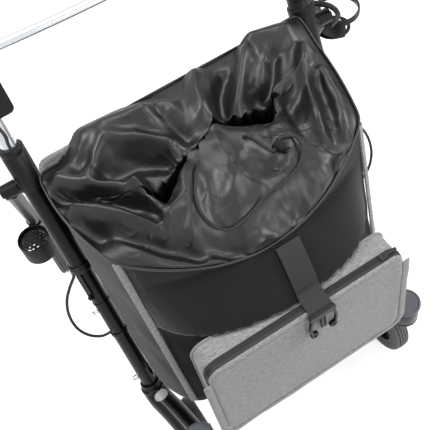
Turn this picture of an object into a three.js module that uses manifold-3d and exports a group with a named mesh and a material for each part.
// Shopping rollator: a folding frame on four wheels with a gathered shopping bag.
// Millimetres, +Z up. The pocket of the bag faces -Y, the user walks at +Y.
import * as THREE from 'three';
import { mergeVertices, toCreasedNormals } from 'three/addons/utils/BufferGeometryUtils.js';
import Module from 'manifold-3d';

const wasm = await Module();
wasm.setup();

// Side frame
const tubeSpacing = 496;
const frameLean = 20;
const sleeveTopHeight = 705;
const sleeveWall = 2.5;
const sleeveLength = 72;
const sleeveLipLength = 12;
const upperTubeWall = 2;
const lowerTubeDiameter = 28;
const lowerTubeWall = 2;
const tubeClearance = 0.5;
const tubeOverlap = 24;
const midCollarDown = 226;
const midCollarLength = 14;
const midCollarWall = 3;
const lowerCollarRise = 29.84;
const lowerCollarLength = 12;
const lowerCollarWall = 4.5;
const collarGrooveWidth = 2;
const collarGrooveDepth = 1.5;
const studDown = 332;
const studDiameter = 8;
const studReach = 12;
const fitGap = 0.3;
const runGap = 0.4;
const overrun = 2;
const mergeTolerance = 1e-4;

// Handles
const handleTubeClearance = 2;
const handleTubeWall = 2;
const handleInsertion = 112;
const bushLength = 16;
const housingBottomRise = 50;
const housingHeight = 110;
const housingWidth = 66;
const housingFrontReach = 22;
const housingRearReach = 34;
const housingCorner = 9;
const handleBarDiameter = 14;
const handleBarDrop = 26;
const handleBarBow = 12;
const gripDiameter = 34;
const gripCoreDiameter = 18;
const gripLength = 126;
const gripDrop = 22;
const gripSetback = 9;
const gripRiseAngle = 6;
const gripRibCount = 7;
const gripRibDepth = 1.5;
const gripRibShare = 0.2;
const gripNoseShare = 0.8;
const leverRise = 42;
const leverLength = 116;
const leverWidth = 16;
const leverThickness = 9;
const leverPinDiameter = 5;
const leverSlotDepth = 20;
const leverKnuckleShare = 0.9;
const leverPinShare = 0.95;
// Places along the lever as shares of its length, and heights across it as shares of half its thickness
const leverCurveShares = [0.35, 0.6];
const leverHeightShares = [2.2, 1.6, 2.6, 3.2, 0.6];

// Rear legs
const legPivotDown = 60;
const legClearance = 0.5;
const legDiameter = 24;
const pivotPinDiameter = 9;
const pivotHeadDiameter = 15;
const pivotHeadHeight = 3;
const pivotBossDiameter = 26;
const rearAxleBack = 325;
const rearWheelDiameter = 160;
const rearForkArmWidth = 26;
const rearForkSocketLength = 34;
const rearForkSocketDiameter = 31;
const catchReach = 7;
const catchDown = 96;

// Wheels and casters
const tyreWidth = 34;
const tyreDepth = 20;
const tyreGrooves = 4;
const tyreGrooveDepth = 1.4;
const tyreShoulderShare = 0.45;
const tyreTreadShare = 0.72;
const tyreLandShare = 0.6;
const tyreEdgeShares = [0.3, 0.9];
const rimWall = 7;
const rimEdgeInset = 3;
const hubDiameter = 32;
const webThickness = 8;
const axleDiameter = 8;
const axleHeadDiameter = 14;
const axleHeadHeight = 4;
const forkArmThickness = 8;
const forkSideGap = 2.5;
const forkCrownThickness = 8;
const forkCrownGap = 5;
const frontWheelDiameter = 150;
const casterInboard = 23;
const casterForward = 322;
const casterCapDiameter = 57;
const casterCapHeight = 8;
const casterCapLip = 2.5;
const casterBarrelLength = 38;
const casterBarrelDiameter = 52;
const casterTrail = 55;
const casterInset = 12;
const casterStemDiameter = 12;
const casterArmWidth = 30;
const casterArmDiameter = 44;
const casterArmDrop = 24;

// Brake
const shoeThickness = 9;
const shoeWidth = 24;
const shoeLength = 20;
const shoeGap = 3;
const shoePadAngle = 85;
const shoeArmWidth = 12;
const shoeArmThickness = 10;
const shoeEarThickness = 3;
const shoeEarBack = 11;
const shoePinDiameter = 6;
const cableDiameter = 5;
const cableRiseShares = [0.2, 0.5, 0.8];

// Brace and cross tubes
const shelfBarDown = 505;
const braceWidth = 18;
const braceThickness = 3.6;
const braceEyeWall = 4;
const rivetDiameter = 13;
const rivetHeight = 3;
const barBoltDiameter = 6;
const barNutDiameter = 10;
const crossTubeDiameter = 22;
const bagBarDrop = 165;
const shelfBarDiameter = 18;

// Bag
const bagWall = 3;
const bagFrontTopDrop = 83;
const bagBackTopDrop = 45;
const bagFrontTopForward = 216;
const bagFrontBottomForward = 288;
const bagTopInset = 24;
const bagBackInset = 10;
const bagBottomInset = 33;
const bagBottomBulge = 14;
const bagTopBulge = 65;
const bagSideBulge = 7;
const bagCornerRadius = 16;
const hemSag = 60;
const backPanelThickness = 5;
const backPanelTopDrop = 33;
const backPanelForward = 11;
const mouthOffset = 20;
const mouthForward = 108;
const mouthLength = 206;
const mouthWidth = 88;
const mouthDrop = 55;
const topPuff = 26;
const bagLevelShares = [0, 0.06, 0.25, 0.5, 0.75, 1];
const topLevelShares = [0, 0.15, 0.32, 0.5, 0.68, 0.85, 1];

// Pocket, strap and cord
const pocketWidth = 352;
const pocketHeight = 226;
const pocketDepth = 58.6;
const pocketTopDrop = 235;
const pocketWall = 3;
const pocketCornerRadius = 22;
const zipSlotWidth = 8;
const zipEndSetback = 23;
const zipSetback = 14;
const sliderLength = 14;
const sliderWidth = 11;
const sliderHeight = 3.4;
const pullerLength = 24;
const strapWidth = 40;
const strapThickness = 2.4;
const strapOffset = 18;
const strapFrontShares = [0.35, 0.7];
const strapSagShare = 0.3;
const strapEdgeShares = [1.2, 1.7];
const buckleLength = 66;
const buckleWidth = 46;
const buckleThickness = 6;
const buckleRootShares = [0.36, 0.45];
const buckleBarShare = 0.09;
const buckleTipShare = 0.13;
const buckleWaistShare = 0.78;
// Shares of a prong's half width: how far its edges lie from the waist line
const prongShares = [0.4, 0.6, 1.2, 1.4];
const drawstringDiameter = 4.4;
const cordLockDiameter = 15;
const cordLockLength = 17;
const cordHoleSetback = 5;
const buttonStemDiameter = 8;
const buttonHeadDiameter = 11;
const buttonHeadHeight = 4;
const buttonTravel = 3;
const buttonBoreDepth = 8;
const lockPlaceShare = 0.5463;
// Shares up to the mouth at the lock's middle, start and end
const lockShares = [0.54, 0.63, 0.45];
// Pairs of a place along half the hem and a share up to the mouth
const cordRouteShares = [
  [-0.673, 0.93], [-0.634, 0.78], [-0.61, 0.63], [-0.576, 0.5], [-0.512, 0.38], [-0.4, 0.27], [-0.293, 0.23],
  [-0.185, 0.25], [-0.024, 0.3], [0.122, 0.34], [0.293, 0.33], [0.488, 0.32], [0.644, 0.38], [0.712, 0.5],
];
const cordEndShares = [[0.478, 0.86], [0.449, 0.96]];
const lockCrossShares = [1, 0.5, 0, -0.5, -1];

// Holders
const cupDiameter = 78;
const cupDepth = 40;
const cupWall = 3;
const cupHoopHeight = 11;
const cupBaseDiameter = 60;
const cupClearance = 6.5;
const cupBack = 41.5;
const cupTopDrop = 93;
const cupWallCutShare = 0.12;
const cupBandDown = 22;
const cupBandLength = 14;
const cupBandWall = 3;
const cupArmDiameter = 9;
const cupArmRiseShare = 1.4;
const cupArmEndShares = [0.36, 0.32];
const caneCupDiameter = 60;
const caneCupDepth = 44;
const caneCupOutboard = 49;
const caneCupDown = 362;
const caneCupForward = 6;
const caneCupRiseShare = 0.3;
const perforationDiameter = 6;
const perforationPitch = 12;

const cordSteps = 60;
const fineSteps = 8;
const coarseSteps = 12;
const roundSteps = 16;
const wheelSteps = 24;

const halfSpacing = tubeSpacing / 2;
const upperBore = lowerTubeDiameter + 2 * tubeClearance;
const upperTubeDiameter = upperBore + 2 * upperTubeWall;
const handleTubeDiameter = upperBore - 2 * handleTubeClearance;
const sleeveDiameter = upperTubeDiameter + 2 * sleeveWall;
const midCollarDiameter = upperTubeDiameter + 2 * midCollarWall;
const lowerCollarDiameter = lowerTubeDiameter + 2 * lowerCollarWall;
const housingTopRise = housingBottomRise + housingHeight;
const lean = THREE.MathUtils.degToRad(frameLean);
const downward = new THREE.Vector3(0, -Math.sin(lean), -Math.cos(lean));
const frontward = new THREE.Vector3(0, -Math.cos(lean), Math.sin(lean));
const sides = [['left', -1], ['right', 1]];
const v = (x, y, z) => new THREE.Vector3(x, y, z);

// Finishes
const finish = (color, roughness, metalness) =>
  new THREE.MeshStandardMaterial({ color, roughness, metalness });
const blackPaint = finish('#1c1c1e', 0.35, 0.3);
const blackPlastic = finish('#222224', 0.5, 0);
const silver = finish('#dfe3e6', 0.25, 1);
const steel = finish('#b9bcc0', 0.3, 1);
const nylon = finish('#333336', 0.45, 0);
const wovenBlack = finish('#2a292c', 0.9, 0);
const heather = finish('#a9a9a5', 0.95, 0);
const webbing = finish('#1b1b1d', 0.8, 0);
const greyRubber = finish('#7c7878', 0.85, 0);
const capGrey = finish('#5c5f66', 0.45, 0);
const blackRubber = finish('#171718', 0.9, 0);

const rollator = new THREE.Group();

function addPart(name, geometry, material) {
  const mesh = new THREE.Mesh(geometry, material);
  mesh.name = name;
  rollator.add(mesh);
}

// Joins and cuts

function toSolid(geometry) {
  const bare = geometry.clone();
  for (const attribute of Object.keys(bare.attributes)) {
    if (attribute !== 'position') bare.deleteAttribute(attribute);
  }
  const merged = mergeVertices(bare, mergeTolerance);
  return new wasm.Manifold(new wasm.Mesh({
    numProp: 3,
    vertProperties: new Float32Array(merged.attributes.position.array),
    triVerts: new Uint32Array(merged.index.array),
  }));
}

function toGeometry(solid) {
  const mesh = solid.getMesh();
  const geometry = new THREE.BufferGeometry();
  const places = new Float32Array(mesh.vertProperties);
  geometry.setAttribute('position', new THREE.BufferAttribute(places, 3));
  geometry.setIndex(new THREE.BufferAttribute(new Uint32Array(mesh.triVerts), 1));
  return toCreasedNormals(geometry, Math.PI / 6);
}

function join(...geometries) {
  return toGeometry(geometries.map(toSolid).reduce((sum, next) => sum.add(next)));
}

function cut(body, ...cutters) {
  return toGeometry(cutters.map(toSolid).reduce((rest, cutter) => rest.subtract(cutter), toSolid(body)));
}

function common(body, other) {
  return toGeometry(toSolid(body).intersect(toSolid(other)));
}

// Simple shapes

// Lays a shape whose own axis is +Z so that it starts at `from` and points to `to`
function aim(geometry, from, to) {
  const direction = to.clone().sub(from).normalize();
  const turn = new THREE.Quaternion().setFromUnitVectors(v(0, 0, 1), direction);
  return geometry.applyQuaternion(turn).translate(from.x, from.y, from.z);
}

function rod(diameter, from, to, steps = roundSteps) {
  const length = from.distanceTo(to);
  const shape = new THREE.CylinderGeometry(diameter / 2, diameter / 2, length, steps);
  shape.rotateX(Math.PI / 2).translate(0, 0, length / 2);
  return aim(shape, from, to);
}

// A rod that runs past both of its ends, for cutting
function drill(diameter, from, to, steps = roundSteps) {
  const extra = to.clone().sub(from).setLength(overrun);
  return rod(diameter, from.clone().sub(extra), to.clone().add(extra), steps);
}

function pipe(outer, inner, from, to, steps = roundSteps) {
  return cut(rod(outer, from, to, steps), drill(inner, from, to, steps));
}

// A rod along X between two places on that axis, through the point `centre`
function crossRod(diameter, centre, startX, endX, steps = roundSteps) {
  return rod(diameter, v(startX, centre.y, centre.z), v(endX, centre.y, centre.z), steps);
}

function block(width, depth, height, centre) {
  return new THREE.BoxGeometry(width, depth, height).translate(centre.x, centre.y, centre.z);
}

function roundedRectangle(width, height, radius) {
  const shape = new THREE.Shape();
  const x = width / 2 - radius;
  const y = height / 2 - radius;
  const quarter = Math.PI / 2;
  shape.absarc(x, -y, radius, -quarter, 0);
  shape.absarc(x, y, radius, 0, quarter);
  shape.absarc(-x, y, radius, quarter, 2 * quarter);
  shape.absarc(-x, -y, radius, 2 * quarter, 3 * quarter);
  shape.closePath();
  return shape;
}

function slab(shape, thickness, curveSegments = 4) {
  return new THREE.ExtrudeGeometry(shape, { depth: thickness, bevelEnabled: false, curveSegments });
}

function sweep(diameter, points, steps, arcSegments = 4) {
  const circle = new THREE.Shape();
  circle.absarc(0, 0, diameter / 2, 0, Math.PI * 2);
  return new THREE.ExtrudeGeometry(circle, {
    steps,
    curveSegments: arcSegments,
    bevelEnabled: false,
    extrudePath: new THREE.CatmullRomCurve3(points, false, 'centripetal'),
  });
}

// A closed profile of [radius, height] pairs turned about the Z axis
function turned(profile, steps = roundSteps) {
  const points = profile.map(([radius, height]) => new THREE.Vector2(radius, height));
  points.push(points[0].clone());
  return new THREE.LatheGeometry(points, steps).rotateX(Math.PI / 2);
}

// A flat link plate in a plane of constant X, with round ends at both points
function linkPlate(width, thickness, from, to, x) {
  const along = Math.atan2(to.z - from.z, to.y - from.y);
  const length = Math.hypot(to.y - from.y, to.z - from.z);
  const outline = new THREE.Shape();
  outline.absarc(0, 0, width / 2, Math.PI / 2, Math.PI * 1.5);
  outline.absarc(length, 0, width / 2, -Math.PI / 2, Math.PI / 2);
  outline.closePath();
  const plate = slab(outline, thickness, 6);
  // The outline's X and Y become Y and Z, and its thickness lies along X
  plate.rotateZ(along).applyMatrix4(new THREE.Matrix4().makeBasis(v(0, 1, 0), v(0, 0, 1), v(1, 0, 0)));
  return plate.translate(x - thickness / 2, from.y, from.z);
}

// A point by its distance down the side tube from the top of its sleeve
function onTube(side, distance, outboard = 0, forward = 0) {
  return v(side * (halfSpacing + outboard), 0, sleeveTopHeight)
    .addScaledVector(downward, distance)
    .addScaledVector(frontward, forward);
}

function tubeDistanceAt(height) {
  return (sleeveTopHeight - height) / Math.cos(lean);
}

// Side tubes, sleeves and collars

const barrelBottom = frontWheelDiameter + 2 * fitGap + casterStemDiameter / 2 + runGap;
const casterCapTop = barrelBottom + casterBarrelLength + casterCapHeight;
const casterArmHeight = casterCapTop - casterArmDrop;
const lowerCollarDown = tubeDistanceAt(casterArmHeight + lowerCollarRise);
const tubeSeat = fitGap * 2;
const cableForward = (handleTubeDiameter + cableDiameter) / 2 + runGap;
const legPlaneX = halfSpacing + (sleeveDiameter + legDiameter) / 2 + legClearance;
const legInnerX = legPlaneX - legDiameter / 2;
const legOuterX = legPlaneX + legDiameter / 2;
const legPivot = onTube(1, legPivotDown);

function heightSleeve(side) {
  const bossInnerX = side * halfSpacing;
  const bossOuterX = side * (legInnerX - runGap);
  const pinEndX = side * (legOuterX + runGap + pivotHeadHeight);
  const boreEnd = Math.max(sleeveLength, legPivotDown + pivotBossDiameter / 2) + overrun;
  const outside = join(
    rod(sleeveDiameter, onTube(side, 0), onTube(side, sleeveLength)),
    crossRod(pivotBossDiameter, legPivot, bossInnerX, bossOuterX),
    crossRod(pivotPinDiameter, legPivot, bossInnerX, pinEndX, coarseSteps),
    crossRod(pivotHeadDiameter, legPivot, side * (legOuterX + runGap), pinEndX, coarseSteps),
  );
  return cut(
    outside,
    drill(handleTubeDiameter + 2 * runGap, onTube(side, 0), onTube(side, sleeveLipLength)),
    rod(upperTubeDiameter + tubeSeat, onTube(side, sleeveLipLength), onTube(side, boreEnd)),
    drill(
      cableDiameter + 2 * runGap,
      onTube(side, 0, 0, cableForward),
      onTube(side, sleeveLipLength, 0, cableForward),
      coarseSteps,
    ),
  );
}

function upperTube(side) {
  const end = onTube(side, midCollarDown + midCollarLength / 2);
  const tube = rod(upperTubeDiameter, onTube(side, sleeveLipLength + fitGap), end);
  const collarEnd = onTube(side, midCollarDown + midCollarLength);
  const collar = rod(midCollarDiameter, onTube(side, midCollarDown), collarEnd);
  return cut(
    join(tube, collar),
    rod(upperBore, onTube(side, sleeveLipLength - overrun), end),
    drill(lowerTubeDiameter + tubeSeat, end, collarEnd),
  );
}

function lowerTube(side) {
  const top = onTube(side, midCollarDown + midCollarLength / 2 - tubeOverlap);
  const end = onTube(side, lowerCollarDown + casterArmDiameter / 2);
  const bolt = onTube(side, shelfBarDown);
  const cableEntry = onTube(side, loopEndDown);
  const innerX = side * (halfSpacing - lowerTubeDiameter);
  const outerX = side * (halfSpacing + lowerTubeDiameter);
  return cut(
    pipe(lowerTubeDiameter, lowerTubeDiameter - 2 * lowerTubeWall, top, end),
    crossRod(barBoltDiameter + tubeSeat, bolt, innerX, outerX, coarseSteps),
    crossRod(cableDiameter + 2 * runGap, cableEntry, side * halfSpacing, outerX, coarseSteps),
  );
}

function guideStud(side, distance) {
  const neckShare = 0.6;
  const footShare = 0.2;
  const headShare = 0.5;
  const seat = lowerTubeDiameter / 2 + fitGap;
  const at = (share) => onTube(side, distance, seat + studReach * share);
  return join(
    rod(studDiameter * neckShare, at(0), at(1), coarseSteps),
    rod(studDiameter, at(0), at(footShare), coarseSteps),
    rod(studDiameter, at(headShare), at(1), coarseSteps),
  );
}

// The cable leaves the collar, bows out beside the tube and enters the lower tube
const loopEndDown = 384;
const cableLoopRoute = [
  [242, 17.4], [248, 18.6], [262, 33], [280, 47], [302, 56], [326, 59],
  [348, 56], [368, 46], [381, 32], [384, 22], [384, 12.5],
];

for (const [label, side] of sides) {
  addPart(`height_sleeve_${label}`, heightSleeve(side), blackPlastic);
  addPart(`upper_tube_${label}`, upperTube(side), blackPaint);
  addPart(`lower_tube_${label}`, lowerTube(side), blackPaint);
  addPart(`guide_stud_${label}`, guideStud(side, studDown), steel);
  const route = cableLoopRoute.map(([distance, outboard]) => onTube(side, distance, outboard));
  addPart(`brake_cable_loop_${label}`, sweep(cableDiameter, route, 24, 3), blackRubber);
}

// Handles

const handleTopRise = housingTopRise - housingCorner;

function handleTube(side) {
  const lower = onTube(side, handleInsertion);
  const bushTop = onTube(side, handleInsertion - bushLength);
  return cut(
    join(
      rod(handleTubeDiameter, lower, onTube(side, -handleTopRise)),
      rod(upperBore - 2 * runGap, lower, bushTop),
    ),
    drill(handleTubeDiameter - 2 * handleTubeWall, lower, onTube(side, -handleTopRise)),
  );
}

const gripStart = onTube(1, gripDrop - housingTopRise, 0, -housingRearReach);
const gripAngle = THREE.MathUtils.degToRad(gripRiseAngle);
const gripDirection = v(0, Math.cos(gripAngle), Math.sin(gripAngle));
const onGrip = (side, distance) => (
  v(side * halfSpacing, gripStart.y, gripStart.z).addScaledVector(gripDirection, distance)
);
const leverDown = -housingBottomRise - leverRise;
const leverPivot = onTube(1, leverDown, 0, -housingRearReach + leverSlotDepth / 2);

function handleHousing(side) {
  const depth = housingFrontReach + housingRearReach;
  const body = slab(roundedRectangle(housingWidth, housingHeight, housingCorner), depth);
  // The slab's thickness runs back from the front face, square to the tube
  const basis = new THREE.Matrix4().makeBasis(v(1, 0, 0), downward.clone().negate(), frontward.clone());
  body.applyMatrix4(basis);
  const middle = onTube(side, -(housingBottomRise + housingTopRise) / 2, 0, -housingRearReach);
  body.translate(middle.x, middle.y, middle.z);
  const slotHeight = leverThickness * 3;
  const slot = block(leverWidth + 2 * runGap, leverSlotDepth * 2, slotHeight, v(0, 0, 0));
  slot.rotateX(-lean);
  const slotMiddle = onTube(side, leverDown, 0, -housingRearReach);
  slot.translate(slotMiddle.x, slotMiddle.y, slotMiddle.z);
  const core = rod(
    gripCoreDiameter,
    onGrip(side, -gripSetback),
    onGrip(side, gripLength - gripDiameter / 2),
    coarseSteps,
  );
  return cut(
    join(body, core),
    rod(
      handleTubeDiameter + tubeSeat,
      onTube(side, overrun - housingBottomRise),
      onTube(side, -handleTopRise - fitGap),
    ),
    rod(
      cableDiameter + 2 * runGap,
      onTube(side, overrun - housingBottomRise, 0, cableForward),
      onTube(side, -housingBottomRise - cableDiameter * 2, 0, cableForward),
      coarseSteps,
    ),
    slot,
    crossRod(
      leverPinDiameter + 2 * runGap, leverPivot,
      side * (halfSpacing - leverWidth), side * (halfSpacing + leverWidth), coarseSteps,
    ),
  );
}

function grip(side) {
  const ribPitch = gripLength / (gripRibCount + 1);
  const outer = gripDiameter / 2;
  const bore = gripCoreDiameter / 2 + runGap;
  const profile = [[bore, gripSetback], [outer, gripSetback]];
  for (let rib = 1; rib <= gripRibCount; rib += 1) {
    const middle = gripSetback / 2 + rib * ribPitch;
    profile.push([outer, middle - ribPitch * gripRibShare]);
    profile.push([outer - gripRibDepth, middle]);
    profile.push([outer, middle + ribPitch * gripRibShare]);
  }
  const boreEnd = gripLength - gripDiameter / 2 + overrun + fitGap;
  profile.push([outer, gripLength - gripRibDepth * 3], [outer * gripNoseShare, gripLength], [0, gripLength]);
  profile.push([0, boreEnd], [bore, boreEnd]);
  return aim(turned(profile, coarseSteps), onGrip(side, 0), onGrip(side, gripLength));
}

function brakeLever(side) {
  const pivot = v(side * halfSpacing, leverPivot.y, leverPivot.z);
  const middleX = side * halfSpacing;
  const bladeReach = leverWidth / 2;
  const pinReach = leverWidth * leverPinShare;
  const knuckle = crossRod(
    leverWidth * leverKnuckleShare, pivot, middleX - bladeReach, middleX + bladeReach, coarseSteps,
  );
  const pin = crossRod(leverPinDiameter, pivot, middleX - pinReach, middleX + pinReach, coarseSteps);
  const outline = new THREE.Shape();
  const half = leverThickness / 2;
  const end = leverLength - half;
  const [near, far] = leverCurveShares.map((share) => leverLength * share);
  const [sag, tipLow, tipMiddle, tipHigh, back] = leverHeightShares.map((share) => half * share);
  outline.moveTo(0, -half);
  outline.bezierCurveTo(near, -sag, far, half, end, tipLow);
  outline.absarc(end, tipMiddle, half, -Math.PI / 2, Math.PI / 2);
  outline.bezierCurveTo(far, tipHigh, near, back, 0, half);
  outline.closePath();
  const blade = slab(outline, leverWidth, 6);
  blade.applyMatrix4(new THREE.Matrix4().makeBasis(v(0, 1, 0), v(0, 0, 1), v(1, 0, 0)));
  blade.translate(side * halfSpacing - leverWidth / 2, pivot.y, pivot.z);
  return join(knuckle, pin, blade);
}

for (const [label, side] of sides) {
  addPart(`handle_tube_${label}`, handleTube(side), silver);
  addPart(`handle_housing_${label}`, handleHousing(side), blackPlastic);
  addPart(`grip_${label}`, grip(side), blackRubber);
  addPart(`brake_lever_${label}`, brakeLever(side), blackPlastic);
  const bow = cableDiameter;
  const [low, middle, high] = cableRiseShares.map((share) => -housingBottomRise * share);
  const cable = [
    onTube(side, sleeveLipLength / 2, 0, cableForward),
    onTube(side, low, 0, cableForward),
    onTube(side, middle, -bow / 2, cableForward + bow),
    onTube(side, high, 0, cableForward),
    onTube(side, -housingBottomRise - cableDiameter, 0, cableForward),
  ];
  addPart(`brake_cable_upper_${label}`, sweep(cableDiameter, cable, 10, 3), blackRubber);
}

function handleBar() {
  const innerX = halfSpacing - housingWidth / 2 - 3 * fitGap;
  const end = onTube(1, handleBarDrop - housingTopRise);
  const points = [];
  const count = 6;
  for (let index = 0; index <= count; index += 1) {
    const across = (index / count) * 2 - 1;
    const bow = handleBarBow * (1 - across * across);
    points.push(v(across * innerX, end.y - bow, end.z));
  }
  return sweep(handleBarDiameter, points, 12, 6);
}
addPart('handle_bar', handleBar(), silver);

// Rear legs with their forks

const rearRadius = rearWheelDiameter / 2;
const rearAxle = v(0, rearAxleBack, rearRadius);
const legVector = rearAxle.clone().sub(v(0, legPivot.y, legPivot.z));
const legLength = legVector.length();
const legDirection = legVector.clone().normalize();
const wheelForkHalf = tyreWidth / 2 + forkSideGap;

function onLeg(side, distance, outboard = 0) {
  return v(side * (legPlaneX + outboard), legPivot.y, legPivot.z).addScaledVector(legDirection, distance);
}

const crownEnd = legLength - rearRadius - forkCrownGap;
const crownStart = crownEnd - forkCrownThickness;
const shoePivot = onLeg(1, crownStart)
  .addScaledVector(v(0, -legDirection.z, legDirection.y), rearForkArmWidth / 2 + shoeEarBack);

function rearLeg(side) {
  const armMiddle = wheelForkHalf + forkArmThickness / 2;
  const armStart = onLeg(side, crownStart + rearForkArmWidth / 2);
  const armPlates = [-1, 1].map((edge) => linkPlate(
    rearForkArmWidth, forkArmThickness, armStart, onLeg(side, legLength), side * legPlaneX + edge * armMiddle,
  ));
  const crownWidth = 2 * (wheelForkHalf + forkArmThickness);
  const crown = block(crownWidth, rearForkArmWidth, forkCrownThickness, v(0, 0, 0));
  const tilt = Math.atan2(legDirection.y, -legDirection.z);
  crown.rotateX(tilt);
  const crownMiddle = onLeg(side, (crownStart + crownEnd) / 2);
  crown.translate(crownMiddle.x, crownMiddle.y, crownMiddle.z);
  const axleReach = wheelForkHalf + forkArmThickness + axleHeadHeight;
  const catchArm = onLeg(side, catchDown);
  const catchPlace = v(side * (legOuterX + catchReach / 2 - overrun), catchArm.y, catchArm.z);
  const earMiddle = (shoeArmThickness + shoeEarThickness) / 2 + runGap;
  const earReach = earMiddle + shoeEarThickness / 2;
  const ears = [-1, 1].map((edge) => linkPlate(
    shoeArmWidth, shoeEarThickness, onLeg(1, crownStart - shoeArmWidth), shoePivot,
    side * legPlaneX + edge * earMiddle,
  ));
  const middleX = side * legPlaneX;
  const headReach = axleReach - axleHeadHeight - overrun;
  const socketEnd = onLeg(side, crownEnd - overrun);
  return cut(
    join(
      rod(legDiameter, onLeg(side, 0), socketEnd),
      crossRod(legDiameter, legPivot, side * legInnerX, side * legOuterX),
      rod(rearForkSocketDiameter, onLeg(side, crownStart - rearForkSocketLength), socketEnd),
      crown,
      ...armPlates,
      crossRod(axleDiameter, rearAxle, middleX - axleReach, middleX + axleReach, coarseSteps),
      crossRod(axleHeadDiameter, rearAxle, middleX - axleReach, middleX - headReach, coarseSteps),
      crossRod(axleHeadDiameter, rearAxle, middleX + headReach, middleX + axleReach, coarseSteps),
      block(catchReach, catchReach, catchReach * 2, catchPlace),
      ...ears,
      crossRod(shoePinDiameter, shoePivot, middleX - earReach, middleX + earReach, coarseSteps),
    ),
    crossRod(
      pivotPinDiameter + 2 * runGap, legPivot,
      side * (legInnerX - overrun), side * (legOuterX + overrun), coarseSteps,
    ),
  );
}

// Wheels turn about X; the profile's axis is laid along X
function wheelRim(diameter, centre) {
  const rimOuter = diameter / 2 - tyreDepth;
  const half = tyreWidth / 2;
  const web = webThickness / 2;
  const rimInner = rimOuter - rimWall;
  const flange = half - rimEdgeInset;
  const hub = hubDiameter / 2;
  const bore = axleDiameter / 2 + runGap;
  const profile = [
    [bore, -half], [hub, -half], [hub, -web], [rimInner, -web], [rimInner, -flange], [rimOuter, -flange],
    [rimOuter, flange], [rimInner, flange], [rimInner, web], [hub, web], [hub, half], [bore, half],
  ];
  return turned(profile, wheelSteps).rotateY(Math.PI / 2).translate(centre.x, centre.y, centre.z);
}

function wheelTyre(diameter, centre) {
  const radius = diameter / 2;
  const half = tyreWidth / 2;
  const seat = radius - tyreDepth + fitGap;
  const shoulder = tyreDepth * tyreShoulderShare;
  const [edgeDepth, edgeWidth] = [shoulder * tyreEdgeShares[0], half * tyreEdgeShares[1]];
  const profile = [[seat, rimEdgeInset - half], [radius - shoulder, -half]];
  const treadHalf = half * tyreTreadShare;
  const land = tyreLandShare;
  profile.push([radius - edgeDepth, -edgeWidth]);
  const pitch = (2 * treadHalf) / tyreGrooves;
  for (let groove = 0; groove < tyreGrooves; groove += 1) {
    const start = -treadHalf + groove * pitch;
    const crown = (offset) => radius - tyreGrooveDepth * (offset / treadHalf) ** 2;
    profile.push([crown(start), start]);
    profile.push([crown(start + pitch * land), start + pitch * land]);
    profile.push([crown(start) - tyreGrooveDepth, start + (pitch * (1 + land)) / 2]);
  }
  profile.push([radius - tyreGrooveDepth, treadHalf], [radius - edgeDepth, edgeWidth]);
  profile.push([radius - shoulder, half], [seat, half - rimEdgeInset]);
  return turned(profile, wheelSteps).rotateY(Math.PI / 2).translate(centre.x, centre.y, centre.z);
}

// The shoe swings on a pin between two ears behind the leg and reaches over the tyre's top
const shoePadDirection = THREE.MathUtils.degToRad(shoePadAngle);
const shoeRadial = v(0, Math.cos(shoePadDirection), Math.sin(shoePadDirection));
const shoePlace = rearAxle.clone().addScaledVector(shoeRadial, rearRadius + shoeGap + shoeThickness / 2);

function brakeShoe(side) {
  const padTilt = shoePadDirection - Math.PI / 2;
  const pad = block(shoeWidth, shoeLength, shoeThickness, v(0, 0, 0)).rotateX(padTilt);
  pad.translate(side * legPlaneX, shoePlace.y, shoePlace.z);
  const arm = linkPlate(shoeArmWidth, shoeArmThickness, shoePivot, shoePlace, side * legPlaneX);
  const reach = shoeArmThickness;
  const start = side * legPlaneX - reach;
  const bore = shoePinDiameter + 2 * runGap;
  return cut(join(pad, arm), crossRod(bore, shoePivot, start, start + 2 * reach, coarseSteps));
}

for (const [label, side] of sides) {
  const centre = v(side * legPlaneX, rearAxle.y, rearAxle.z);
  addPart(`rear_leg_${label}`, rearLeg(side), blackPaint);
  addPart(`rear_rim_${label}`, wheelRim(rearWheelDiameter, centre), blackPlastic);
  addPart(`rear_tyre_${label}`, wheelTyre(rearWheelDiameter, centre), greyRubber);
  addPart(`brake_shoe_${label}`, brakeShoe(side), blackPlastic);
}

// Front casters

const frontRadius = frontWheelDiameter / 2;
const casterX = halfSpacing - casterInboard;
const frontWheelX = casterX - casterInset;
const frontAxle = v(0, casterTrail - casterForward, frontRadius);
const barrelTop = casterCapTop - casterCapHeight - fitGap;
const stemTop = barrelTop - casterCapHeight;
const casterAxis = (side, height) => v(side * casterX, -casterForward, height);

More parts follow.
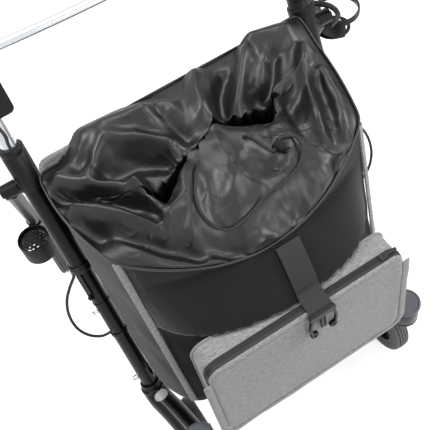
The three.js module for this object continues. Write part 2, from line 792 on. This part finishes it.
function frontHousing(side) {
  const collarEnd = lowerCollarDown + lowerCollarLength;
  const tubeEnd = lowerCollarDown + casterArmDiameter / 2;
  const grooveMiddle = lowerCollarDown + lowerCollarLength / 2;
  const heelPoint = onTube(side, tubeEnd);
  const heel = v(heelPoint.x, heelPoint.y, casterArmHeight);
  const boreStart = onTube(side, lowerCollarDown - overrun);
  const above = casterAxis(side, casterCapTop + casterArmDiameter);
  const knob = new THREE.SphereGeometry(casterArmDiameter / 2, coarseSteps, fineSteps);
  knob.translate(heel.x, heel.y, heel.z);
  return cut(
    join(
      rod(lowerCollarDiameter, onTube(side, lowerCollarDown), onTube(side, collarEnd + overrun)),
      rod(casterArmDiameter, onTube(side, collarEnd), onTube(side, tubeEnd)),
      knob,
      rod(casterArmDiameter, heel, casterAxis(side, casterArmHeight)),
      rod(casterBarrelDiameter, casterAxis(side, barrelBottom), casterAxis(side, barrelTop)),
    ),
    rod(lowerTubeDiameter + tubeSeat, boreStart, onTube(side, tubeEnd + fitGap)),
    pipe(
      lowerCollarDiameter + overrun, lowerCollarDiameter - 2 * collarGrooveDepth,
      onTube(side, grooveMiddle - collarGrooveWidth / 2), onTube(side, grooveMiddle + collarGrooveWidth / 2),
    ),
    rod(
      casterStemDiameter + 2 * runGap,
      casterAxis(side, barrelBottom - overrun),
      casterAxis(side, stemTop + runGap),
      coarseSteps,
    ),
    rod(casterCapDiameter + overrun, casterAxis(side, barrelTop), above),
  );
}

function casterCap(side) {
  const radius = casterCapDiameter / 2;
  const lip = casterCapLip;
  const profile = [
    [0, 0], [radius - lip, 0], [radius, lip], [radius, casterCapHeight - lip],
    [radius - lip, casterCapHeight], [radius - 2 * lip, casterCapHeight - lip / 2],
    [0, casterCapHeight - lip / 2],
  ];
  const seat = casterAxis(side, casterCapTop - casterCapHeight);
  return turned(profile).translate(seat.x, seat.y, seat.z);
}

function casterFork(side) {
  const crownTop = barrelBottom - runGap;
  const crownBottom = crownTop - casterStemDiameter / 2;
  const armX = frontWheelX + wheelForkHalf + forkArmThickness / 2;
  const shoulder = v(0, -casterForward, crownTop - casterArmWidth / 2);
  const innerX = frontWheelX - tyreWidth / 2 - runGap;
  const outerX = armX + forkArmThickness / 2;
  const headEnd = outerX + axleHeadHeight;
  return join(
    rod(casterBarrelDiameter, casterAxis(side, crownBottom), casterAxis(side, crownTop)),
    rod(casterStemDiameter, casterAxis(side, crownBottom), casterAxis(side, stemTop), coarseSteps),
    linkPlate(casterArmWidth, forkArmThickness, shoulder, frontAxle, side * armX),
    crossRod(axleDiameter, frontAxle, side * (innerX - axleHeadHeight), side * headEnd, coarseSteps),
    crossRod(axleHeadDiameter, frontAxle, side * (innerX - axleHeadHeight), side * innerX, coarseSteps),
    crossRod(axleHeadDiameter, frontAxle, side * (outerX - overrun), side * headEnd, coarseSteps),
  );
}

for (const [label, side] of sides) {
  const centre = v(side * frontWheelX, frontAxle.y, frontAxle.z);
  addPart(`front_housing_${label}`, frontHousing(side), blackPlastic);
  addPart(`caster_cap_${label}`, casterCap(side), capGrey);
  addPart(`caster_fork_${label}`, casterFork(side), blackPlastic);
  addPart(`front_rim_${label}`, wheelRim(frontWheelDiameter, centre), blackPlastic);
  addPart(`front_tyre_${label}`, wheelTyre(frontWheelDiameter, centre), greyRubber);
}

// Folding brace, cross tube and bars

const shelfBar = onTube(1, shelfBarDown);
const legAtBrace = (legPivot.z - shelfBar.z) / -legDirection.z;
const braceRearPivot = onLeg(1, legAtBrace);
const braceKnee = shelfBar.clone().add(v(shelfBar.x, braceRearPivot.y, braceRearPivot.z)).divideScalar(2);
const braceFrontX = halfSpacing - lowerTubeDiameter / 2 - runGap - braceThickness / 2;
const braceRearX = braceFrontX - braceThickness - runGap;

// A brace half with an eye that turns on the bar at `pivot`
function braceHalf(side, pivot, barDiameter, middleX) {
  const bore = barDiameter + 2 * runGap;
  const inner = side * (middleX - braceThickness / 2);
  const outer = side * (middleX + braceThickness / 2);
  return cut(
    join(
      linkPlate(braceWidth, braceThickness, pivot, braceKnee, side * middleX),
      crossRod(bore + 2 * braceEyeWall, pivot, inner, outer),
    ),
    crossRod(bore, pivot, inner - side * overrun, outer + side * overrun),
  );
}

function braceFront(side) {
  const face = braceFrontX + braceThickness / 2;
  const rivetEnd = side * (face + rivetHeight);
  const rivet = crossRod(rivetDiameter, braceKnee, side * (face - runGap), rivetEnd, coarseSteps);
  return join(braceHalf(side, shelfBar, shelfBarDiameter, braceFrontX), rivet);
}

function braceRear(side) {
  const face = braceRearX - braceThickness / 2;
  const rivetEnd = side * (face - rivetHeight);
  const rivet = crossRod(rivetDiameter, braceKnee, side * (face + runGap), rivetEnd, coarseSteps);
  return join(braceHalf(side, braceRearPivot, crossTubeDiameter, braceRearX), rivet);
}

for (const [label, side] of sides) {
  addPart(`brace_front_${label}`, braceFront(side), blackPaint);
  addPart(`brace_rear_${label}`, braceRear(side), blackPaint);
}

const crossReach = legInnerX - fitGap;
addPart('rear_cross_tube', crossRod(crossTubeDiameter, braceRearPivot, -crossReach, crossReach), blackPaint);

const bagBarDown = tubeDistanceAt(sleeveTopHeight - bagBarDrop);
const bagBar = onTube(1, bagBarDown, 0, backPanelForward - fitGap - crossTubeDiameter / 2);
const bagBarReach = halfSpacing - upperTubeDiameter / 2 - fitGap;
addPart('bag_bar', crossRod(crossTubeDiameter, bagBar, -bagBarReach, bagBarReach), blackPaint);

// The shelf bar carries the bag's floor; its bolts come out through the side tubes
function shelfBarShape() {
  const reach = halfSpacing - lowerTubeDiameter / 2 - fitGap;
  const nutStart = halfSpacing + lowerTubeDiameter / 2 + fitGap;
  const boltEnd = nutStart + studReach;
  const nuts = [-1, 1].map((side) => crossRod(
    barNutDiameter, shelfBar, side * nutStart, side * (boltEnd - overrun), coarseSteps,
  ));
  return join(
    crossRod(shelfBarDiameter, shelfBar, -reach, reach),
    crossRod(barBoltDiameter, shelfBar, -boltEnd, boltEnd, coarseSteps),
    ...nuts,
  );
}
addPart('shelf_bar', shelfBarShape(), blackPaint);

// Bag

const mix = THREE.MathUtils.lerp;
const tubeLineY = (height) => -(sleeveTopHeight - height) * Math.tan(lean);
const bagBottomHeight = shelfBar.z + shelfBarDiameter / 2 + fitGap;
const bagFrontTopHeight = sleeveTopHeight - bagFrontTopDrop;
const bagBackTopHeight = sleeveTopHeight - bagBackTopDrop;
const backPanelHalfWidth = halfSpacing - sleeveDiameter / 2;
const bagTopHalfWidth = backPanelHalfWidth - bagTopInset;
const bagBackHalfWidth = backPanelHalfWidth - bagBackInset;
const bagBottomHalfWidth = backPanelHalfWidth - bagBottomInset;
const bagBackDepth = (backPanelForward + backPanelThickness + fitGap) / Math.cos(lean);
const bagBackY = (height) => tubeLineY(height) - bagBackDepth;

// One level of the bag: share 0 is its floor and share 1 its hem, which sags at the front
function bagRing(share, inset) {
  const frontHeight = mix(bagBottomHeight, bagFrontTopHeight, share);
  const backHeight = mix(bagBottomHeight, bagBackTopHeight, share);
  const frontY = -mix(bagFrontBottomForward, bagFrontTopForward, share) + inset;
  const backY = bagBackY(backHeight) - inset;
  const frontHalf = mix(bagBottomHalfWidth, bagTopHalfWidth, share) - inset;
  const backHalf = mix(bagBottomHalfWidth, bagBackHalfWidth, share) - inset;
  const bulge = mix(bagBottomBulge, bagTopBulge, share);
  const front = (side) => v(side * frontHalf, frontY, frontHeight);
  const back = (side) => v(side * backHalf, backY, backHeight);
  const corners = [
    [front(-1), front(1), 12, v(0, -bulge, -hemSag * share)],
    [front(1), back(1), 6, v(bagSideBulge, 0, 0)],
    [back(1), back(-1), 8, v(0, 0, 0)],
    [back(-1), front(-1), 6, v(-bagSideBulge, 0, 0)],
  ];
  const ring = [];
  for (const [start, end, count, bulgeVector] of corners) {
    const turn = bagCornerRadius / start.distanceTo(end);
    for (let index = 0; index <= count; index += 1) {
      const across = mix(turn, 1 - turn, index / count);
      const swell = 4 * across * (1 - across);
      ring.push(start.clone().lerp(end, across).addScaledVector(bulgeVector, swell));
    }
  }
  return ring;
}

// A skin through rings of equal count; open stacks are closed by fans at both ends
function loft(rings, closed) {
  const count = rings[0].length;
  const points = rings.flat();
  const triangles = [];
  const last = closed ? rings.length : rings.length - 1;
  for (let level = 0; level < last; level += 1) {
    const upper = (level + 1) % rings.length;
    for (let index = 0; index < count; index += 1) {
      const next = (index + 1) % count;
      const a = level * count + index;
      const b = level * count + next;
      const c = upper * count + next;
      const d = upper * count + index;
      triangles.push([a, b, c], [a, c, d]);
    }
  }
  if (!closed) {
    for (const [level, flip] of [[0, true], [rings.length - 1, false]]) {
      const centre = rings[level].reduce((sum, point) => sum.add(point), v(0, 0, 0)).divideScalar(count);
      const middle = points.push(centre) - 1;
      for (let index = 0; index < count; index += 1) {
        const a = level * count + index;
        const b = level * count + ((index + 1) % count);
        triangles.push(flip ? [middle, b, a] : [middle, a, b]);
      }
    }
  }
  let volume = 0;
  for (const [a, b, c] of triangles) volume += points[a].dot(points[b].clone().cross(points[c]));
  const order = volume > 0 ? triangles : triangles.map(([a, b, c]) => [a, c, b]);
  const geometry = new THREE.BufferGeometry().setFromPoints(order.flat().map((index) => points[index]));
  geometry.computeVertexNormals();
  return geometry;
}

function bagBody() {
  const floorShare = bagWall / (bagFrontTopHeight - bagBottomHeight);
  const inner = bagLevelShares.map((share) => bagRing(Math.max(share, floorShare), bagWall));
  const outer = bagLevelShares.map((share) => bagRing(share, 0));
  return loft([...inner, ...outer.reverse()], false);
}
addPart('bag_body', bagBody(), wovenBlack);

// The gathered top rises from the hem and runs in to a drawn mouth
function topPoint(hemPoint, share) {
  const centre = v(mouthOffset, -mouthForward, sleeveTopHeight - mouthDrop);
  const angle = Math.atan2((hemPoint.y - centre.y) / mouthWidth, (hemPoint.x - centre.x) / mouthLength);
  const rim = v(
    centre.x + (mouthLength / 2) * Math.cos(angle),
    centre.y + (mouthWidth / 2) * Math.sin(angle),
    centre.z,
  );
  const point = hemPoint.clone().lerp(rim, share);
  point.z += topPuff * Math.sin(Math.PI * share);
  return point;
}

function bagTop() {
  const lift = v(0, 0, runGap);
  const outerHem = bagRing(1, 0).map((point) => point.add(lift));
  const innerHem = bagRing(1, bagWall).map((point) => point.add(lift));
  const outer = topLevelShares.map((share) => outerHem.map((point) => topPoint(point, share)));
  const inner = topLevelShares.map((share, level) => innerHem.map((point) => {
    const place = topPoint(point, share);
    if (level > 0) place.z -= bagWall;
    return place;
  }));
  return loft([...outer, ...inner.reverse()], true);
}
addPart('bag_top', bagTop(), nylon);

function backPanel() {
  const start = tubeDistanceAt(sleeveTopHeight - backPanelTopDrop);
  const end = tubeDistanceAt(bagBottomHeight);
  const face = roundedRectangle(2 * backPanelHalfWidth, end - start, bagCornerRadius);
  const panel = slab(face, backPanelThickness);
  panel.applyMatrix4(new THREE.Matrix4().makeBasis(v(1, 0, 0), downward.clone().negate(), frontward.clone()));
  const middle = onTube(1, (start + end) / 2, 0, backPanelForward);
  return panel.translate(0, middle.y, middle.z);
}
addPart('bag_back_panel', backPanel(), heather);

// Pocket with its zip

const pocketTopHeight = sleeveTopHeight - pocketTopDrop;
const pocketForward = bagFrontBottomForward + bagBottomBulge + pocketDepth + runGap;
const zipSlotLength = pocketWidth - 2 * zipEndSetback;
const pocketMiddle = pocketTopHeight - pocketHeight / 2;
const pocketBackY = -pocketForward + pocketDepth;
const zipY = -pocketForward + zipSetback;
const wallFrame = new THREE.Matrix4().makeBasis(v(1, 0, 0), v(0, 0, 1), v(0, -1, 0));

function frontPocket() {
  const walls = 2 * pocketWall;
  const outside = slab(roundedRectangle(pocketWidth, pocketHeight, pocketCornerRadius), pocketDepth);
  const inside = slab(
    roundedRectangle(pocketWidth - walls, pocketHeight - walls, pocketCornerRadius - pocketWall),
    pocketDepth - walls,
  );
  outside.applyMatrix4(wallFrame).translate(0, pocketBackY, pocketMiddle);
  inside.applyMatrix4(wallFrame).translate(0, pocketBackY - pocketWall, pocketMiddle);
  const slot = block(zipSlotLength, zipSlotWidth, walls + overrun, v(0, zipY, pocketTopHeight));
  return cut(outside, inside, slot);
}
addPart('front_pocket', frontPocket(), heather);

function zipSlider() {
  const startX = (zipSlotLength - sliderLength) / 2;
  const base = pocketTopHeight + runGap;
  const pullerWidth = sliderWidth / 2;
  const pullerHeight = sliderHeight / 2;
  return join(
    block(sliderLength, sliderWidth, sliderHeight, v(startX, zipY, base + sliderHeight / 2)),
    block(pullerLength, pullerWidth, pullerHeight, v(startX + pullerLength / 2, zipY, base + sliderHeight)),
  );
}
addPart('zip_slider', zipSlider(), blackPlastic);

// Webbing strap down the front and over the pocket, and its buckle half

function ribbon(path, width, thickness, x) {
  const half = thickness / 2;
  const edge = (sign) => path.map(([y, z], index) => {
    const [py, pz] = path[Math.max(index - 1, 0)];
    const [ny, nz] = path[Math.min(index + 1, path.length - 1)];
    const length = Math.hypot(ny - py, nz - pz);
    return new THREE.Vector2(y + (sign * half * -(nz - pz)) / length, z + (sign * half * (ny - py)) / length);
  });
  const outline = new THREE.Shape([...edge(1), ...edge(-1).reverse()]);
  const sheet = slab(outline, width);
  sheet.applyMatrix4(new THREE.Matrix4().makeBasis(v(0, 1, 0), v(0, 0, 1), v(1, 0, 0)));
  return sheet.translate(x - width / 2, 0, 0);
}

const frontMiddleY = (height) => {
  const hemHeight = bagFrontTopHeight - hemSag;
  const share = (height - bagBottomHeight) / (hemHeight - bagBottomHeight);
  return -mix(bagFrontBottomForward + bagBottomBulge, bagFrontTopForward + bagTopBulge, share);
};

const strapSkin = strapThickness / 2 + runGap;
const strapClearance = sliderHeight * 2 + overrun;
const strapOverHeight = pocketTopHeight + strapClearance;

function webbingStrap() {
  const hemHeight = bagFrontTopHeight - hemSag;
  const onFront = (height) => [frontMiddleY(height) - strapSkin, height];
  const frontEdge = -pocketForward;
  const path = [
    onFront(hemHeight - strapThickness),
    ...strapFrontShares.map((share) => onFront(mix(hemHeight, strapOverHeight, share))),
    [pocketBackY + strapSkin * 4, strapOverHeight + strapClearance],
    [pocketBackY - strapSkin * 3, strapOverHeight + strapClearance * strapSagShare],
    [zipY, strapOverHeight],
    [frontEdge + strapSkin, strapOverHeight - strapSkin],
    [frontEdge - strapSkin * strapEdgeShares[0], strapOverHeight - strapSkin * 3],
    [frontEdge - strapSkin * strapEdgeShares[1], pocketTopHeight + overrun + 3 * runGap],
  ];
  return ribbon(path, strapWidth, strapThickness, strapOffset);
}
addPart('webbing_strap', webbingStrap(), webbing);

function strapBuckle() {
  const half = buckleWidth / 2;
  const barHalf = buckleWidth * buckleBarShare;
  const tipHalf = buckleWidth * buckleTipShare;
  const [root, fork] = buckleRootShares.map((share) => -buckleLength * share);
  const outline = new THREE.Shape();
  const tipY = -buckleLength + tipHalf;
  const waist = half * buckleWaistShare;
  const [centreIn, edgeOut, rootIn, edgeIn] = prongShares.map((share) => tipHalf * share);
  const bowY = (root + tipY) / 2;
  outline.moveTo(-half, 0);
  outline.lineTo(-half, root);
  outline.quadraticCurveTo(-half - centreIn, bowY, -waist - edgeOut, tipY);
  outline.absarc(-waist + centreIn, tipY, tipHalf, Math.PI, 2 * Math.PI);
  outline.lineTo(-waist + rootIn, fork);
  outline.lineTo(-barHalf, fork);
  outline.lineTo(-barHalf, tipY + tipHalf);
  outline.lineTo(barHalf, tipY + tipHalf);
  outline.lineTo(barHalf, fork);
  outline.lineTo(waist - rootIn, fork);
  outline.lineTo(waist - edgeIn, tipY);
  outline.absarc(waist - centreIn, tipY, tipHalf, Math.PI, 2 * Math.PI);
  outline.quadraticCurveTo(half + centreIn, bowY, half, root);
  outline.lineTo(half, 0);
  outline.closePath();
  const plate = slab(outline, buckleThickness);
  plate.applyMatrix4(wallFrame);
  plate.translate(strapOffset, -pocketForward - runGap, pocketTopHeight + overrun - fitGap);
  const eye = (sign) => {
    const x = strapOffset + sign * (waist - centreIn);
    const z = pocketTopHeight + tipY;
    const front = v(x, -pocketForward - 2 * buckleThickness, z);
    return rod(tipHalf, v(x, -pocketForward + overrun, z), front, coarseSteps);
  };
  return cut(plate, eye(-1), eye(1));
}
addPart('strap_buckle', strapBuckle(), blackPlastic);

// Drawstring, cord lock and its button

// A place over the front of the gathered top: x along the hem, share up to the mouth
function overTop(x, share, lift) {
  const hemAt = (place) => {
    const across = (place + bagTopHalfWidth) / (2 * bagTopHalfWidth);
    const swell = 4 * across * (1 - across);
    return v(place, -bagFrontTopForward - bagTopBulge * swell, bagFrontTopHeight - hemSag * swell);
  };
  const step = runGap;
  const shareStep = 0.01;
  const acrossWay = topPoint(hemAt(x + step), share).sub(topPoint(hemAt(x - step), share));
  const upWay = topPoint(hemAt(x), share + shareStep).sub(topPoint(hemAt(x), share - shareStep));
  return topPoint(hemAt(x), share).addScaledVector(acrossWay.cross(upWay).normalize(), lift);
}

const lockLift = cordLockDiameter / 2 + runGap * 5;
const cordLift = drawstringDiameter / 2 + 2 * fitGap + runGap;
const lockPlace = bagTopHalfWidth * lockPlaceShare;
const [lockMiddleShare, lockStartShare, lockEndShare] = lockShares;
const lockStart = overTop(lockPlace, lockStartShare, lockLift);
const lockAxis = overTop(lockPlace, lockEndShare, lockLift).sub(lockStart).normalize();
const lockMiddle = overTop(lockPlace, lockMiddleShare, lockLift);
const lockUp = overTop(lockPlace, lockMiddleShare, lockLift + overrun).sub(lockMiddle).normalize();
const cordWay = lockUp.clone().cross(lockAxis).normalize();
const onLock = (distance, sideways = 0) => (
  lockStart.clone().addScaledVector(lockAxis, distance).addScaledVector(cordWay, sideways)
);

function drawstring() {
  const clear = cordLockDiameter / 2 + drawstringDiameter;
  const [[rise, riseShare], [end, endShare]] = cordEndShares;
  const loop = cordRouteShares.map(([across, share]) => overTop(bagTopHalfWidth * across, share, cordLift));
  const through = lockCrossShares.map((share) => onLock(cordHoleSetback, clear * share));
  const ends = [
    overTop(bagTopHalfWidth * rise, riseShare, cordLift + lockLift / 2),
    overTop(bagTopHalfWidth * end, endShare, cordLift),
  ];
  return sweep(drawstringDiameter, [...loop, ...through, ...ends], cordSteps, 3);
}
addPart('drawstring', drawstring(), blackRubber);

function cordLock() {
  return cut(
    rod(cordLockDiameter, onLock(0), onLock(cordLockLength), coarseSteps),
    rod(
      drawstringDiameter + 4 * runGap,
      onLock(cordHoleSetback, -cordLockDiameter),
      onLock(cordHoleSetback, cordLockDiameter),
      fineSteps,
    ),
    rod(
      buttonStemDiameter + 2 * runGap,
      onLock(cordLockLength - buttonBoreDepth),
      onLock(cordLockLength + overrun),
      coarseSteps,
    ),
  );
}
addPart('cord_lock', cordLock(), blackPlastic);

function cordLockButton() {
  const headStart = cordLockLength + buttonTravel + runGap;
  const stemStart = cordLockLength - buttonBoreDepth + buttonTravel + runGap;
  return join(
    rod(buttonStemDiameter, onLock(stemStart), onLock(headStart + buttonHeadHeight), coarseSteps),
    rod(buttonHeadDiameter, onLock(headStart), onLock(headStart + buttonHeadHeight), coarseSteps),
  );
}
addPart('cord_lock_button', cordLockButton(), blackPlastic);

// Cup holders

function perforations(centre, radius, fromHeight, toHeight) {
  const holes = [];
  const rows = Math.floor(radius / perforationPitch);
  for (let row = -rows; row <= rows; row += 1) {
    for (let column = -rows; column <= rows; column += 1) {
      const x = (column + row / 2) * perforationPitch;
      const y = row * perforationPitch * Math.sin(Math.PI / 3);
      if (Math.hypot(x, y) + perforationDiameter / 2 < radius) {
        const place = (height) => v(centre.x + x, centre.y + y, height);
        holes.push(drill(perforationDiameter, place(fromHeight), place(toHeight), 6));
      }
    }
  }
  return holes;
}

function drinkHolder() {
  const centre = v(legOuterX + cupClearance + cupDiameter / 2, legPivot.y + cupBack, 0);
  const level = (height) => v(centre.x, centre.y, height);
  const top = sleeveTopHeight - cupTopDrop;
  const bottom = top - cupDepth;
  const bore = cupDiameter - 2 * cupWall;
  const wallCutX = centre.x - cupDiameter * cupWallCutShare;
  const wholeWall = pipe(cupDiameter, bore, level(bottom), level(top));
  const wallMiddle = v(wallCutX - cupDiameter / 2, centre.y, bottom);
  const wallSide = block(cupDiameter, cupDiameter * 2, cupDepth * 2, wallMiddle);
  const wall = common(wholeWall, wallSide);
  const hoop = pipe(cupDiameter, bore, level(top - cupHoopHeight), level(top));
  const baseShift = (cupDiameter - cupBaseDiameter) / 2;
  const baseLevel = (height) => v(centre.x - baseShift, centre.y, height);
  const base = rod(cupBaseDiameter, baseLevel(bottom), baseLevel(bottom + cupWall));
  const bandBore = sleeveDiameter + 2 * fitGap;
  const bandStart = onTube(1, cupBandDown);
  const bandEnd = onTube(1, cupBandDown + cupBandLength);
  const band = pipe(bandBore + 2 * cupBandWall, bandBore, bandStart, bandEnd);
  const armFront = legPivot.y - cupBandWall * 2;
  const [armSide, armBack] = cupArmEndShares.map((share) => cupDiameter * share);
  const armRoute = [
    onTube(1, cupBandDown + cupBandLength / 2, (bandBore + cupBandWall) / 2, cupBandWall),
    v(legOuterX, armFront, legPivot.z + cupBandLength * cupArmRiseShare),
    v(legOuterX + cupBandLength, armFront, legPivot.z - cupBandWall * 2),
    v(centre.x - armSide, centre.y - armBack, top - cupHoopHeight),
  ];
  const arm = cut(
    sweep(cupArmDiameter, armRoute, coarseSteps),
    drill(bandBore, bandStart, bandEnd),
    drill(bore, level(bottom), level(top)),
  );
  return cut(
    join(wall, hoop, base, band, arm),
    ...perforations(baseLevel(bottom), cupBaseDiameter / 2 - cupWall, bottom, bottom + cupWall),
  );
}
addPart('drink_holder', drinkHolder(), blackPlastic);

function caneCup() {
  const bandMiddle = caneCupDown - legPivotDown;
  const seat = onLeg(-1, bandMiddle + overrun);
  const top = seat.z + caneCupDepth * caneCupRiseShare;
  const bottom = top - caneCupDepth;
  const centreX = -(halfSpacing + caneCupOutboard);
  const centreY = seat.y - (caneCupDiameter + legDiameter) / 2 - caneCupForward;
  const level = (height) => v(centreX, centreY, height);
  const bore = caneCupDiameter - 2 * cupWall;
  const bandBore = legDiameter + tubeSeat;
  const bandStart = onLeg(-1, bandMiddle - cupWall * 3);
  const bandEnd = onLeg(-1, bandMiddle + cupWall * 3);
  const band = rod(bandBore + 2 * cupWall, bandStart, bandEnd);
  const bridgeMiddle = v((centreX + seat.x) / 2, seat.y - legDiameter / 2 - cupWall, seat.z);
  const bridge = block(cupWall * 4, caneCupDiameter / 2, cupWall * 4, bridgeMiddle);
  const shell = join(rod(caneCupDiameter, level(bottom), level(top)), band, bridge);
  return cut(
    shell,
    rod(bore, level(bottom + cupWall), level(top + overrun)),
    drill(bandBore, onLeg(-1, bandMiddle - caneCupDepth), onLeg(-1, bandMiddle + caneCupDepth)),
    ...perforations(level(0), bore / 2, bottom, bottom + cupWall),
  );
}
addPart('cane_cup', caneCup(), blackPlastic);

// Origin at the middle of the whole object's outline, on the ground
const outline = new THREE.Box3().setFromObject(rollator);
const middle = outline.getCenter(v(0, 0, 0));
for (const mesh of rollator.children) mesh.geometry.translate(-middle.x, -middle.y, -outline.min.z);

export default rollator;
